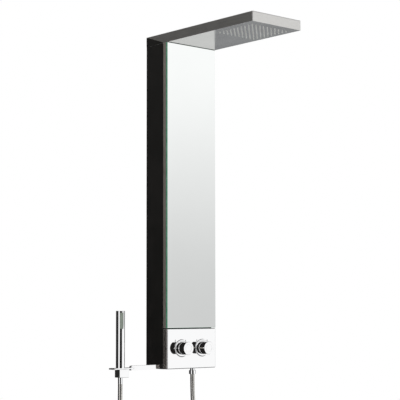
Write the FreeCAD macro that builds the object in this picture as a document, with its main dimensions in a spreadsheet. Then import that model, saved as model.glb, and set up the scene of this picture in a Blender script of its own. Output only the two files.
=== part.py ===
"""A wall-hung shower panel column.

The wall is the plane y = 0 and the front looks along -Y, with +X to the right and +Z up. The origin is the
middle of the upper wall bracket's two screw holes. Heights in the formulas are measured from the foot of the
column, and depths from the wall towards the front. All sizes are millimetres.
"""

import FreeCAD, Part
import math
import os
import re

import Sketcher

os.makedirs("parts", exist_ok=True)
doc = FreeCAD.newDocument("shower_column")

SIZES = {
    "Column": {
        "column_width": 200,
        "column_height": 1020,
        "fixing_drop": 170,
        "casing_depth": 84,
        "casing_sheet": 1.5,
        "casing_bend": 1.2,
        "rear_flange": 12,
        "base_lip": 12,
        "seam": 0.6,
        "fit": 0.3,
        "running": 0.05,
    },
    "Front": {
        "frame_depth": 13,
        "frame_sheet": 1.5,
        "tape_thickness": 1,
        "tape_width": 18,
        "tape_inset": 8,
        "glass_thickness": 6,
        "glass_bevel": 0.8,
        "glass_gap": 2,
        "top_gap": 0.6,
        "plate_height": 125,
        "plate_wall": 2.5,
        "plate_radius": 3,
        "spacer_radius": 5,
        "spacer_inset": 16,
        "frame_spacer_rows": 4,
    },
    "Wall fixings": {
        "bracket_width": 120,
        "bracket_drop": 20,
        "bracket_rise": 26,
        "bracket_sheet": 2,
        "bracket_step": 12,
        "channel_width": 4,
        "fixing_spacing": 90,
        "fixing_hole_radius": 3.25,
        "rail_sheet": 2,
        "rail_height": 24,
        "tongue_width": 100,
        "lower_bracket_width": 70,
        "lower_bracket_rise": 36,
        "lower_bracket_reach": 32,
        "lower_fixing_height": 24,
        "lower_fixing_spacing": 40,
    },
    "Arm": {
        "arm_reach": 490,
        "arm_thickness": 30,
        "arm_sheet": 1.5,
        "arm_radius": 2,
        "tray_flange": 10,
        "pipe_window_width": 60,
        "pipe_window_behind": 24,
        "pipe_window_ahead": 36,
        "arm_bracket_leg": 32,
        "arm_bracket_drop": 80,
        "arm_bracket_sheet": 2,
        "arm_bracket_start": 8,
        "arm_bracket_gap": 4.5,
        "arm_screw_pitch": 40,
    },
    "Rain spray": {
        "nozzle_count": 10,
        "nozzle_side_margin": 30,
        "nozzle_front_margin": 33,
        "nozzle_radius": 1.9,
        "nozzle_hole_radius": 3,
        "nozzle_stand": 4,
        "nozzle_taper": 4,
        "mat_thickness": 2.5,
        "mat_margin": 10,
        "chamber_height": 20,
        "chamber_wall": 3,
        "chamber_flange": 10,
        "chamber_flange_thickness": 3.5,
        "chamber_neck": 18,
        "neck_wall": 2,
        "stud_radius": 2,
        "stud_length": 9,
        "stud_nut_radius": 4,
        "stud_nut_thickness": 3,
    },
    "Pipes": {
        "pipe_radius": 7.5,
        "pipe_wall": 1,
        "pipe_setback": 24,
        "feed_height": 14,
        "elbow_bend": 14,
        "elbow_wall": 2.4,
        "elbow_collar": 1,
        "socket_length": 14,
        "clip_height": 12,
        "clip_wall": 2,
        "clip_width": 14,
        "clip_start": 320,
        "clip_end_drop": 220,
        "clip_count": 3,
    },
    "Valve": {
        "valve_height": 64,
        "valve_length": 140,
        "barrel_radius": 17,
        "boss_radius": 12,
        "inlet_spacing": 120,
        "inlet_length": 22,
        "tail_radius": 10.45,
        "tail_length": 18,
        "tail_hexagon": 6,
        "tail_hexagon_radius": 13,
        "tail_bore": 7,
        "riser_boss": 26,
        "outlet_boss": 30,
        "outlet_socket": 12,
        "socket_radius": 19,
        "shoulder_radius": 22.5,
        "shoulder_length": 9.5,
        "socket_stand": 8,
        "socket_bore": 15,
        "valve_bracket_sheet": 2,
        "valve_bracket_foot": 14,
        "valve_bracket_height": 100,
        "ring_radius": 23.5,
        "ring_thickness": 5,
        "knob_spacing": 84,
        "cartridge_length": 29,
        "cartridge_neck": 12,
        "spindle_radius": 4,
        "spindle_seat": 9,
    },
    "Knobs": {
        "flange_radius": 27.5,
        "flange_thickness": 3,
        "flange_bevel": 2.2,
        "knob_radius": 20,
        "knob_wall": 3,
        "knob_front_wall": 4,
        "knob_length": 30,
        "knob_gap": 0.5,
        "knob_edge": 0.7,
        "hub_radius": 7,
        "hub_setback": 2,
        "cap_radius": 12,
        "cap_thickness": 1.5,
        "button_radius": 2.5,
        "button_stand": 1.2,
        "button_collar": 3.5,
        "button_collar_thickness": 1.4,
        "button_setback": 6.5,
        "spring_wire": 0.6,
        "spring_radius": 2.4,
        "spring_turns": 5,
        "grub_radius": 2,
        "grub_length": 7,
        "pointer_width": 3,
        "pointer_stand": 0.9,
        "pointer_setback": 5,
        "pointer_length": 19,
        "pin_radius": 1.5,
        "pin_stand": 6,
        "pin_setback": 21,
        "pin_lean": 5,
    },
    "Outlet": {
        "outlet_across": 40,
        "outlet_collar": 10,
        "outlet_collar_thickness": 2,
        "outlet_bore": 5,
        "neck_length": 8,
        "nut_radius": 10.75,
        "nut_length": 12,
        "locknut_width": 24,
        "locknut_thickness": 5,
        "hose_radius": 7,
    },
    "Handset holder": {
        "holder_setback": 9,
        "bar_length": 118,
        "bar_height": 14,
        "bar_thickness": 10,
        "bar_radius": 5,
        "bar_slot": 14,
        "shelf_underside": 4.5,
        "shelf_thickness": 4,
        "shelf_width": 30,
        "shelf_overhang": 33,
        "shelf_radius": 3,
        "block_length": 36,
        "block_width": 24,
        "block_height": 24.5,
        "block_offset": 6,
        "block_edge": 0.8,
        "guide_radius": 7.6,
        "bar_screw_radius": 2.5,
        "bar_screw_head": 4.5,
        "bar_screw_length": 14,
    },
    "Handset": {
        "handset_reach": 42,
        "handset_radius": 13.5,
        "handset_wall": 1.8,
        "handset_top": 180,
        "handset_turn": 22,
        "cap_disc": 2,
        "cap_spigot": 1.6,
        "face_width": 11,
        "face_foot": 126,
        "face_length": 48.5,
        "face_setback": 0.6,
        "face_flange": 2.6,
        "face_lap": 1.5,
        "face_flange_thickness": 1.2,
        "jet_rows": 9,
        "jet_margin": 4.25,
        "jet_spacing": 5,
        "jet_radius": 0.8,
        "jet_stand": 0.4,
        "ferrule_foot": -39,
        "ferrule_head": 9.6,
        "ferrule_head_foot": 22.3,
        "ferrule_head_thickness": 4.4,
        "ferrule_bore": 4.5,
        "upper_nut_radius": 11.3,
        "upper_nut_foot": 12,
        "upper_nut_length": 22,
        "nipple_neck": 9.9,
        "nipple_length": 14,
    },
}

sheet = doc.addObject("Spreadsheet::Sheet", "Dims")
row = 0
for group, sizes in SIZES.items():
    row += 1
    sheet.set(f"A{row}", group)
    for name, value in sizes.items():
        row += 1
        sheet.set(f"A{row}", name)
        sheet.set(f"B{row}", str(value))
        sheet.setAlias(f"B{row}", name)
doc.recompute()

HALF = "column_width / 2"
INNER = "(column_width / 2 - casing_sheet)"
WEB_REAR = "(casing_depth - casing_sheet)"
FRONT = "(casing_depth + frame_depth + tape_thickness + glass_thickness)"
FIXING_HEIGHT = "(column_height - fixing_drop)"
GLASS_FOOT = "(plate_height + glass_gap)"
CASING_TOP = "(column_height - seam)"
NOZZLE_SPAN = "(column_width - 2 * nozzle_side_margin)"
NOZZLE_PITCH = f"({NOZZLE_SPAN} / (nozzle_count - 1))"
NOZZLE_DEPTH = f"(arm_reach - nozzle_front_margin - {NOZZLE_SPAN} / 2)"
MAT_HALF = f"({NOZZLE_SPAN} / 2 + mat_margin)"
ARM_BRACKET_END = f"({WEB_REAR} - arm_bracket_gap)"
PIPE_DEPTH = "(casing_depth - pipe_setback)"
FEED_HEIGHT = "(column_height + feed_height)"
RISER_BOSS_TOP = "(valve_height + riser_boss)"
OUTLET_BOSS_FOOT = "(valve_height - outlet_boss)"
INLET_FACE = f"({PIPE_DEPTH} - inlet_length)"
SOCKET_FACE = "(casing_depth + socket_stand)"
CARTRIDGE_FOOT = f"({SOCKET_FACE} - cartridge_length)"
SPINDLE_FOOT = f"({CARTRIDGE_FOOT} + spindle_seat)"
KNOB_REAR = f"({FRONT} + flange_thickness + knob_gap)"
SHELF_TOP = "(shelf_underside + shelf_thickness)"
HOLDER_DEPTH = "(casing_depth - holder_setback)"
HANDSET_ACROSS = f"(-{HALF} - bar_length - handset_reach)"
NUT_FOOT = "(-neck_length - nut_length)"


# Formulas, bodies and sketches


def formula(text):
    """text with the name of each size pointing at its cell; deg stays a unit of angle."""
    return re.sub(r"\b(?!deg\b)([a-z][a-z_]+)\b(?!\()", r"Dims.\1", str(text))


def size(name):
    """The number in the cell of one size."""
    return float(sheet.get(name))


def place(made, across="0", depth="0", height="0"):
    """Puts a piece's own origin at a place given from the middle, the wall and the foot of the column."""
    made.setExpression("Placement.Base.x", formula(across))
    made.setExpression("Placement.Base.y", formula(f"-({depth})"))
    made.setExpression("Placement.Base.z", formula(f"({height}) - {FIXING_HEIGHT}"))


def body(label, across="0", depth="0", height="0"):
    """An empty body for one piece, with its own origin placed on the column."""
    made = doc.addObject("PartDesign::Body", label)
    made.Label = label
    made.AllowCompound = True
    place(made, across, depth, height)
    return made


def datum(made, role):
    """One of the body's own origin planes or axes."""
    return next(item for item in made.Origin.OriginFeatures if item.Role == role)


def sketch(made, plane, offset="0"):
    """An empty sketch on an origin plane: XY looks up, XZ looks to the front and YZ looks to the right."""
    drawn = made.newObject("Sketcher::SketchObject", f"{made.Name}_sketch")
    drawn.AttachmentSupport = [(datum(made, f"{plane}_Plane"), "")]
    drawn.MapMode = "FlatFace"
    drawn.setExpression("AttachmentOffset.Base.z", formula(offset))
    return drawn


def fix(drawn, places, other=()):
    """Adds constraints to a sketch: places are driven by a formula each, as (kind, where, formula)."""
    first = drawn.ConstraintCount
    drawn.addConstraint([Sketcher.Constraint(kind, *where, 1.0) for kind, where, _ in places] + list(other))
    for number, (_, _, text) in enumerate(places, first):
        drawn.setExpression(f"Constraints[{number}]", formula(text))


def outline(drawn, corners):
    """A closed outline of straight sides through corners, each an (across, up) pair of formulas."""
    first = drawn.GeometryCount
    count = len(corners)
    turn = 2 * math.pi / count
    start = [FreeCAD.Vector(math.cos(turn * i), math.sin(turn * i), 0) for i in range(count)]
    drawn.addGeometry([Part.LineSegment(start[i - 1], start[i]) for i in range(count)], False)
    places = []
    for i, (across, up) in enumerate(corners):
        places += [("DistanceX", (-1, 1, first + i, 1), across), ("DistanceY", (-1, 1, first + i, 1), up)]
    fix(drawn, places, [Sketcher.Constraint("Coincident", first + i, 1, first + (i - 1) % count, 2)
                        for i in range(count)])
    return drawn


def box(drawn, left, low, right, high):
    """A rectangle."""
    return outline(drawn, [(left, low), (right, low), (right, high), (left, high)])


def circle(drawn, across, up, radius):
    """A circle."""
    number = drawn.addGeometry(Part.Circle(FreeCAD.Vector(1, 1, 0), FreeCAD.Vector(0, 0, 1), 1), False)
    middle = (-1, 1, number, 3)
    fix(drawn, [("DistanceX", middle, across), ("DistanceY", middle, up), ("Radius", (number,), radius)])
    return drawn


def polygon(drawn, across, up, radius, sides):
    """A regular polygon with a flat side downwards."""
    step = 360 / sides
    angles = [step * (i + 0.5) for i in range(sides)]
    return outline(drawn, [(f"({across}) + {radius} * sin({a} deg)", f"({up}) + {radius} * cos({a} deg)")
                           for a in angles])


def mirrored(half_outline):
    """An outline through half_outline and its mirror image across the middle."""
    return half_outline + [(f"-({across})", up) for across, up in reversed(half_outline)]


def pad(made, drawn, length, taper=None):
    """Material from the sketch along its plane's direction."""
    feature = made.newObject("PartDesign::Pad", f"{made.Name}_pad")
    feature.Profile = drawn
    feature.setExpression("Length", formula(length))
    if taper:
        feature.setExpression("TaperAngle", formula(taper))
    doc.recompute()
    return feature


def cut(made, drawn, length):
    """A pocket from the sketch along its plane's direction, checked to remove material."""
    before = made.Shape.Volume
    feature = made.newObject("PartDesign::Pocket", f"{made.Name}_pocket")
    feature.Profile = drawn
    feature.Reversed = True
    feature.setExpression("Length", formula(length))
    doc.recompute()
    if made.Shape.Volume >= before:
        raise RuntimeError(f"{feature.Name} cuts nothing")
    return feature


def turned(made, plane, axis, corners):
    """A turned piece: corners are the half section, revolved about an axis of its sketch."""
    drawn = outline(sketch(made, plane), corners)
    feature = made.newObject("PartDesign::Revolution", f"{made.Name}_turned")
    feature.Profile = drawn
    feature.ReferenceAxis = (drawn, [axis])
    feature.Angle = 360
    doc.recompute()
    return feature


def turned_up(made, corners):
    """A piece turned about its own vertical axis, from (radius, height) corners."""
    return turned(made, "XZ", "V_Axis", corners)


def turned_forward(made, corners):
    """A piece turned about an axis that points to the front, from (radius, depth) corners."""
    return turned(made, "XY", "V_Axis", [(radius, f"-({depth})") for radius, depth in corners])


def repeat(made, features, axis, length, count):
    """Copies of features in an even row of a given length along an origin axis."""
    row_of = made.newObject("PartDesign::LinearPattern", f"{made.Name}_row")
    row_of.Originals = features
    row_of.Direction = (datum(made, f"{axis}_Axis"), [""])
    row_of.setExpression("Length", formula(length))
    row_of.setExpression("Occurrences", formula(count))
    made.Tip = row_of
    doc.recompute()
    return row_of


def edges_where(made, chosen):
    """The names of the body's edges that chosen accepts."""
    return [f"Edge{i + 1}" for i, edge in enumerate(made.Tip.Shape.Edges) if chosen(edge)]


def runs_along(edge, axis):
    """Whether a straight edge is parallel to axis."""
    if not isinstance(edge.Curve, Part.Line):
        return False
    return abs(edge.Curve.Direction.dot(axis)) > 0.999


def dress(made, kind, measure, amount, chosen):
    """A fillet or chamfer of the body's chosen edges."""
    base = made.Tip
    names = edges_where(made, chosen)
    feature = made.newObject(f"PartDesign::{kind}", f"{made.Name}_{kind.lower()}")
    feature.Base = (base, names)
    feature.setExpression(measure, formula(amount))
    made.Tip = feature
    doc.recompute()
    return feature


def round_edges(made, radius, chosen):
    """Fillets the chosen edges."""
    return dress(made, "Fillet", "Radius", radius, chosen)


def bevel_edges(made, width, chosen):
    """Chamfers the chosen edges."""
    return dress(made, "Chamfer", "Size", width, chosen)


FORWARD = FreeCAD.Vector(0, -1, 0)
UP = FreeCAD.Vector(0, 0, 1)
HEXAGON = 6
NOZZLE_SIDES = 8
RING_SIDES = 8


# Wall fixings and casing


def wall_bracket():
    """A folded strip on the wall: a back with two screw holes, a step, and an upturned lip as a channel."""
    made = body("wall_bracket", height=FIXING_HEIGHT)
    half = "bracket_width / 2"
    outer = "(channel_width + bracket_sheet)"
    floor = "(bracket_step + bracket_sheet)"
    section = [
        ("0", "-bracket_drop"),
        ("-bracket_sheet", "-bracket_drop"),
        ("-bracket_sheet", "bracket_step"),
        (f"-{outer}", "bracket_step"),
        (f"-{outer}", "bracket_rise"),
        ("-channel_width", "bracket_rise"),
        ("-channel_width", floor),
        ("0", floor),
    ]
    pad(made, outline(sketch(made, "YZ", f"-{half}"), section), "bracket_width")
    holes = sketch(made, "XZ")
    circle(holes, "-fixing_spacing / 2", "0", "fixing_hole_radius")
    circle(holes, "fixing_spacing / 2", "0", "fixing_hole_radius")
    cut(made, holes, "bracket_sheet")
    return made


def hanger_rail():
    """A cross rail behind the casing, with a tongue that drops into the wall bracket's channel."""
    made = body("hanger_rail", depth="casing_sheet", height=f"{FIXING_HEIGHT} + bracket_step + bracket_sheet")
    tongue = "bracket_rise - bracket_step - bracket_sheet + fit"
    corners = [("tongue_width / 2", "0"), ("tongue_width / 2", tongue), (f"({INNER} - fit)", tongue),
               (f"({INNER} - fit)", f"{tongue} + rail_height")]
    pad(made, outline(sketch(made, "XZ"), mirrored(corners)), "rail_sheet")
    return made


def lower_bracket():
    """An angle on the wall that the foot of the column is screwed to."""
    made = body("lower_bracket", height="casing_sheet")
    section = [
        ("0", "0"),
        ("-lower_bracket_reach", "0"),
        ("-lower_bracket_reach", "bracket_sheet"),
        ("-bracket_sheet", "bracket_sheet"),
        ("-bracket_sheet", "lower_bracket_rise"),
        ("0", "lower_bracket_rise"),
    ]
    half = "lower_bracket_width / 2"
    pad(made, outline(sketch(made, "YZ", f"-{half}"), section), "lower_bracket_width")
    holes = sketch(made, "XZ")
    for side in ("-", ""):
        circle(holes, f"{side}lower_fixing_spacing / 2", "lower_fixing_height - casing_sheet",
               "fixing_hole_radius")
    cut(made, holes, "bracket_sheet")
    hole = circle(sketch(made, "XY"), "0", "-lower_bracket_reach / 2", "bar_screw_radius")
    cut(made, hole, "bracket_sheet")
    return made


def lower_bracket_screw():
    """The screw from below that ties the foot of the column to its bracket."""
    made = body("lower_bracket_screw", depth="lower_bracket_reach / 2")
    head = "-bar_screw_radius"
    top = "casing_sheet + bracket_sheet + bar_screw_radius"
    turned_up(made, [("0", head), ("bar_screw_head", head), ("bar_screw_head", "0"),
                     ("bar_screw_radius", "0"), ("bar_screw_radius", top), ("0", top)])
    return made


def rear_casing():
    """A folded channel: two sides, a front web behind the glass, and narrow flanges against the wall."""
    made = body("rear_casing")
    lip = f"({HALF} - rear_flange)"
    web = f"-{WEB_REAR}"
    outer = mirrored([(lip, "0"), (HALF, "0"), (HALF, "-casing_depth")])
    inner = mirrored([(f"-{lip}", "-casing_sheet"), (f"-{INNER}", "-casing_sheet"), (f"-{INNER}", web)])
    pad(made, outline(sketch(made, "XY"), outer + inner), CASING_TOP)
    corner = size("column_width") / 2
    round_edges(made, "casing_bend",
                lambda edge: runs_along(edge, UP) and abs(abs(edge.CenterOfMass.x) - corner) < 0.01)
    sockets = sketch(made, "XZ", WEB_REAR)
    for side in ("-", ""):
        circle(sockets, f"{side}knob_spacing / 2", "valve_height", "socket_radius + fit")
    cut(made, sockets, "casing_sheet")
    screw = circle(sketch(made, "YZ", f"-{HALF}"), f"-({HOLDER_DEPTH} - bar_thickness / 2)", "bar_height / 2",
                   "bar_screw_radius + running")
    cut(made, screw, "casing_sheet")
    return made


def base_plate():
    """The folded plate that closes the underside, with the outlet hole and a lip behind the web."""
    made = body("base_plate")
    rear = "(bracket_sheet + fit)"
    front = WEB_REAR
    section = [(f"-{rear}", "0"), (f"-{front}", "0"), (f"-{front}", "base_lip"),
               (f"-({front} - casing_sheet)", "base_lip"), (f"-({front} - casing_sheet)", "casing_sheet"),
               (f"-{rear}", "casing_sheet")]
    half = f"({INNER} - running)"
    pad(made, outline(sketch(made, "YZ", f"-{half}"), section), f"2 * {half}")
    holes = sketch(made, "XY")
    circle(holes, "outlet_across", f"-{PIPE_DEPTH}", "pipe_radius + fit")
    circle(holes, "0", "-lower_bracket_reach / 2", "bar_screw_radius + running")
    cut(made, holes, "casing_sheet")
    return made


# Front: frame, tape, glass and valve plate


def front_frame():
    """A shallow folded tray of brushed sheet in front of the casing, which carries the glass."""
    made = body("front_frame", depth="casing_depth", height=GLASS_FOOT)
    tall = f"({CASING_TOP} - {GLASS_FOOT})"
    pad(made, box(sketch(made, "XZ"), f"-{HALF}", "0", HALF, tall), "frame_depth")
    wall = "frame_sheet"
    inside = f"({HALF} - {wall})"
    cut(made, box(sketch(made, "XZ"), f"-{inside}", wall, inside, f"{tall} - {wall}"),
        "frame_depth - frame_sheet")
    return made


def frame_spacers():
    """Two columns of posts between the casing's web and the frame."""
    made = body("frame_spacers", depth="casing_depth", height=GLASS_FOOT)
    end = "(spacer_inset + spacer_radius)"
    posts = sketch(made, "XZ")
    for side in ("-", ""):
        circle(posts, f"{side}({HALF} - spacer_inset)", end, "spacer_radius")
    first = pad(made, posts, "frame_depth - frame_sheet")
    repeat(made, [first], "Z", f"{CASING_TOP} - {GLASS_FOOT} - 2 * {end}", "frame_spacer_rows")
    return made


def glass_tape():
    """Three strips of foam tape between the frame and the glass."""
    made = body("glass_tape", depth="casing_depth + frame_depth", height=GLASS_FOOT)
    top = f"{CASING_TOP} - {GLASS_FOOT} - tape_inset"
    strips = sketch(made, "XZ")
    outer = f"({HALF} - tape_inset)"
    box(strips, f"-{outer}", "tape_inset", f"-{outer} + tape_width", top)
    box(strips, "-tape_width / 2", "tape_inset", "tape_width / 2", top)
    box(strips, f"{outer} - tape_width", "tape_inset", outer, top)
    pad(made, strips, "tape_thickness")
    return made


def mirror_glass():
    """The tall mirror with a ground bevel round its front face."""
    made = body("mirror_glass", depth="casing_depth + frame_depth + tape_thickness", height=GLASS_FOOT)
    top = f"(column_height - top_gap - {GLASS_FOOT})"
    pad(made, box(sketch(made, "XZ"), f"-{HALF}", "0", HALF, top), "glass_thickness")
    face = -size("glass_thickness")
    bevel_edges(made, "glass_bevel", lambda edge: abs(edge.CenterOfMass.y - face) < 0.01)
    return made


def valve_plate():
    """The box-shaped chrome cover over the valve, open at the back, with softly rounded edges."""
    made = body("valve_plate", depth="casing_depth")
    deep = f"({FRONT} - casing_depth)"
    pad(made, box(sketch(made, "XZ"), f"-{HALF}", "0", HALF, "plate_height"), deep)
    face = -(size("frame_depth") + size("tape_thickness") + size("glass_thickness"))
    round_edges(made, "plate_radius",
                lambda edge: runs_along(edge, FORWARD) or abs(edge.CenterOfMass.y - face) < 0.01)
    inside = f"({HALF} - plate_wall)"
    cut(made, box(sketch(made, "XZ"), f"-{inside}", "plate_wall", inside, "plate_height - plate_wall"),
        f"{deep} - plate_wall")
    holes = sketch(made, "XZ", f"{deep} - plate_wall")
    for side in ("-", ""):
        circle(holes, f"{side}knob_spacing / 2", "valve_height", "cartridge_neck + 2 * fit")
    cut(made, holes, "plate_wall")
    return made


def plate_spacers():
    """Four posts that the valve plate is bonded to."""
    made = body("plate_spacers", depth="casing_depth")
    posts = sketch(made, "XZ")
    for side in ("-", ""):
        for height in ("spacer_inset", "plate_height - spacer_inset"):
            circle(posts, f"{side}({HALF} - spacer_inset)", height, "spacer_radius")
    pad(made, posts, f"{FRONT} - plate_wall - casing_depth")
    return made


# Arm and rain spray


def arm_shell():
    """The arm's outer box of brushed sheet, folded over the top of the column and open underneath."""
    made = body("arm_shell", height="column_height")
    pad(made, box(sketch(made, "XY"), f"-{HALF}", "-arm_reach", HALF, "0"), "arm_thickness")
    top = size("arm_thickness")
    reach = size("arm_reach")
    round_edges(made, "arm_radius", lambda edge: abs(edge.CenterOfMass.z - top) < 0.01
                or runs_along(edge, UP) and abs(edge.CenterOfMass.y + reach) < 0.01)
    inside = f"({HALF} - arm_sheet)"
    cut(made, box(sketch(made, "XY"), f"-{inside}", "-(arm_reach - arm_sheet)", inside, "-arm_sheet"),
        "arm_thickness - arm_sheet")
    return made


def arm_underside():
    """The tray that closes the arm from below, with a window for the pipe and the grid of nozzle holes."""
    made = body("arm_underside", height="column_height")
    outer = f"({HALF} - arm_sheet - fit)"
    rear = "(arm_sheet + fit)"
    front = f"(arm_reach - {rear})"
    pad(made, box(sketch(made, "XY"), f"-{outer}", f"-{front}", outer, f"-{rear}"), "tray_flange")
    inside = f"({outer} - arm_sheet)"
    cut(made, box(sketch(made, "XY", "arm_sheet"), f"-{inside}", f"-({front} - arm_sheet)", inside,
                  f"-({rear} + arm_sheet)"), "tray_flange - arm_sheet")
    openings = sketch(made, "XY")
    box(openings, "-pipe_window_width / 2", f"-({PIPE_DEPTH} + pipe_window_ahead)", "pipe_window_width / 2",
        f"-({PIPE_DEPTH} - pipe_window_behind)")
    arm_screw_points(openings, "bar_screw_radius + running")
    cut(made, openings, "arm_sheet")
    nozzle_grid(made, cut, "nozzle_hole_radius", "arm_sheet")
    return made


def nozzle_grid(made, feature, radius, length, **options):
    """The square grid of eight-sided holes or nozzles, as one row that is repeated."""
    drawn = sketch(made, "XY")
    for i in range(int(size("nozzle_count"))):
        polygon(drawn, f"{NOZZLE_PITCH} * {i} - {NOZZLE_SPAN} / 2", f"-({NOZZLE_DEPTH} + {NOZZLE_SPAN} / 2)",
                radius, NOZZLE_SIDES)
    repeat(made, [feature(made, drawn, length, **options)], "Y", NOZZLE_SPAN, "nozzle_count")


def nozzle_mat():
    """The silicone mat on the tray, with tapered nozzles that reach through the holes."""
    made = body("nozzle_mat", height="column_height - nozzle_stand")
    floor = "arm_sheet + nozzle_stand"
    near = f"-({NOZZLE_DEPTH} - {MAT_HALF})"
    far = f"-({NOZZLE_DEPTH} + {MAT_HALF})"
    pad(made, box(sketch(made, "XY", floor), f"-{MAT_HALF}", far, MAT_HALF, near), "mat_thickness")
    nozzle_grid(made, pad, "nozzle_radius", floor, taper="nozzle_taper")
    return made


def spray_chamber():
    """The water box over the mat, with a flange round the mat and a neck for the feed pipe."""
    made = body("spray_chamber", depth=NOZZLE_DEPTH, height="column_height + arm_sheet")
    wide = f"({MAT_HALF} + chamber_flange)"
    pad(made, box(sketch(made, "XY"), f"-{wide}", f"-{wide}", wide, wide), "chamber_flange_thickness")
    pad(made, box(sketch(made, "XY"), f"-{MAT_HALF}", f"-{MAT_HALF}", MAT_HALF, MAT_HALF), "chamber_height")
    neck_start = f"-({MAT_HALF} + chamber_neck)"
    neck_height = "(feed_height - arm_sheet)"
    neck = circle(sketch(made, "XZ", neck_start), "0", neck_height, "pipe_radius + neck_wall")
    pad(made, neck, "chamber_neck + chamber_wall")
    seat = f"({MAT_HALF} + fit)"
    cut(made, box(sketch(made, "XY"), f"-{seat}", f"-{seat}", seat, seat), "mat_thickness")
    hollow = f"({MAT_HALF} - chamber_wall)"
    cut(made, box(sketch(made, "XY", "mat_thickness"), f"-{hollow}", f"-{hollow}", hollow, hollow),
        "chamber_height - mat_thickness - chamber_wall")
    bore = circle(sketch(made, "XZ", neck_start), "0", neck_height, "pipe_radius + running")
    cut(made, bore, "chamber_neck + chamber_wall")
    holes = sketch(made, "XY")
    stud_points(holes, "stud_radius + fit")
    cut(made, holes, "chamber_flange_thickness")
    return made


def stud_points(drawn, radius):
    """A circle at each corner of the chamber's flange."""
    corner = f"({MAT_HALF} + chamber_flange / 2)"
    for across in ("-", ""):
        for up in ("-", ""):
            circle(drawn, f"{across}{corner}", f"{up}{corner}", radius)


def chamber_studs():
    """Four studs welded to the tray, with the nuts that hold the chamber down."""
    made = body("chamber_studs", depth=NOZZLE_DEPTH, height="column_height + arm_sheet")
    studs = sketch(made, "XY")
    stud_points(studs, "stud_radius")
    pad(made, studs, "stud_length")
    nuts = sketch(made, "XY", "chamber_flange_thickness")
    corner = f"({MAT_HALF} + chamber_flange / 2)"
    for across in ("-", ""):
        for up in ("-", ""):
            polygon(nuts, f"{across}{corner}", f"{up}{corner}", "stud_nut_radius", HEXAGON)
    pad(made, nuts, "stud_nut_thickness")
    return made


def arm_brackets():
    """Two angles inside the top of the casing that carry the arm."""
    made = body("arm_brackets")
    length = f"{ARM_BRACKET_END} - arm_bracket_start"
    low = "(column_height - arm_bracket_drop)"
    thick = "arm_bracket_sheet"
    for side in ("-", ""):
        corners = [
            (f"{side}{INNER}", low),
            (f"{side}({INNER} - {thick})", low),
            (f"{side}({INNER} - {thick})", f"column_height - {thick}"),
            (f"{side}({INNER} - arm_bracket_leg)", f"column_height - {thick}"),
            (f"{side}({INNER} - arm_bracket_leg)", "column_height"),
            (f"{side}{INNER}", "column_height"),
        ]
        pad(made, outline(sketch(made, "XZ", "arm_bracket_start"), corners), length)
    holes = sketch(made, "XY", f"column_height - {thick}")
    arm_screw_points(holes, "bar_screw_radius + running")
    cut(made, holes, thick)
    return made


def arm_screw_points(drawn, radius):
    """A circle at each of the arm's four screws."""
    for side in ("-", ""):
        for step in ("-", "+"):
            circle(drawn, f"{side}({INNER} - arm_bracket_leg / 2)",
                   f"-((arm_bracket_start + {ARM_BRACKET_END}) / 2 {step} arm_screw_pitch / 2)", radius)


def arm_screws():
    """Four screws down through the tray into the brackets."""
    made = body("arm_screws", height="column_height + arm_sheet")
    heads = sketch(made, "XY")
    arm_screw_points(heads, "bar_screw_head")
    pad(made, heads, "bar_screw_radius")
    reach = "(arm_sheet + arm_bracket_sheet + bar_screw_head)"
    shanks = sketch(made, "XY", f"-{reach}")
    arm_screw_points(shanks, "bar_screw_radius")
    pad(made, shanks, reach)
    return made


# Pipes


def ring(made, plane, offset, across, up, outer, inner, length):
    """A short length of tube."""
    drawn = sketch(made, plane, offset)
    circle(drawn, across, up, outer)
    circle(drawn, across, up, inner)
    return pad(made, drawn, length)


def riser_pipe():
    """The pipe from the valve up to the arm."""
    made = body("riser_pipe", depth=PIPE_DEPTH, height=f"{RISER_BOSS_TOP} - socket_length")
    top = f"({FEED_HEIGHT} - elbow_bend - {RISER_BOSS_TOP} + socket_length)"
    ring(made, "XY", "0", "0", "0", "pipe_radius", "pipe_radius - pipe_wall", top)
    return made


def riser_elbow():
    """A bent fitting with a socket at each end, from the riser into the arm."""
    made = body("riser_elbow", depth=f"{PIPE_DEPTH} + elbow_bend", height=f"{FEED_HEIGHT} - elbow_bend")
    bore = "(pipe_radius + running)"
    bend = sketch(made, "XY")
    circle(bend, "0", "elbow_bend", f"{bore} + elbow_wall")
    circle(bend, "0", "elbow_bend", bore)
    quarter = made.newObject("PartDesign::Revolution", "riser_elbow_bend")
    quarter.Profile = bend
    quarter.ReferenceAxis = (bend, ["H_Axis"])
    quarter.Angle = 90
    doc.recompute()
    collar = f"{bore} + elbow_wall + elbow_collar"
    ring(made, "XY", "-socket_length", "0", "elbow_bend", collar, bore, "socket_length")
    ring(made, "XZ", "0", "0", "elbow_bend", collar, bore, "socket_length")
    return made


def arm_feed_pipe():
    """The pipe along the arm into the spray chamber."""
    made = body("arm_feed_pipe", depth=f"{PIPE_DEPTH} + elbow_bend", height=FEED_HEIGHT)
    length = f"{NOZZLE_DEPTH} - {MAT_HALF} - {PIPE_DEPTH} - elbow_bend"
    ring(made, "XZ", "0", "0", "0", "pipe_radius", "pipe_radius - pipe_wall", length)
    return made


def riser_clips():
    """Saddle clips that hold the riser to the casing's web."""
    made = body("riser_clips", depth=PIPE_DEPTH, height="clip_start")
    outer = "(pipe_radius + running + clip_wall)"
    drawn = circle(sketch(made, "XY"), "0", "0", outer)
    first = pad(made, drawn, "clip_height")
    foot = f"({WEB_REAR} - {PIPE_DEPTH})"
    arm = pad(made, box(sketch(made, "XY"), "-clip_width / 2", f"-{foot}", "clip_width / 2", "0"),
              "clip_height")
    bore = cut(made, circle(sketch(made, "XY"), "0", "0", "pipe_radius + running"), "clip_height")
    repeat(made, [first, arm, bore], "Z", "column_height - clip_end_drop - clip_start", "clip_count")
    return made


# Valve


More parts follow.
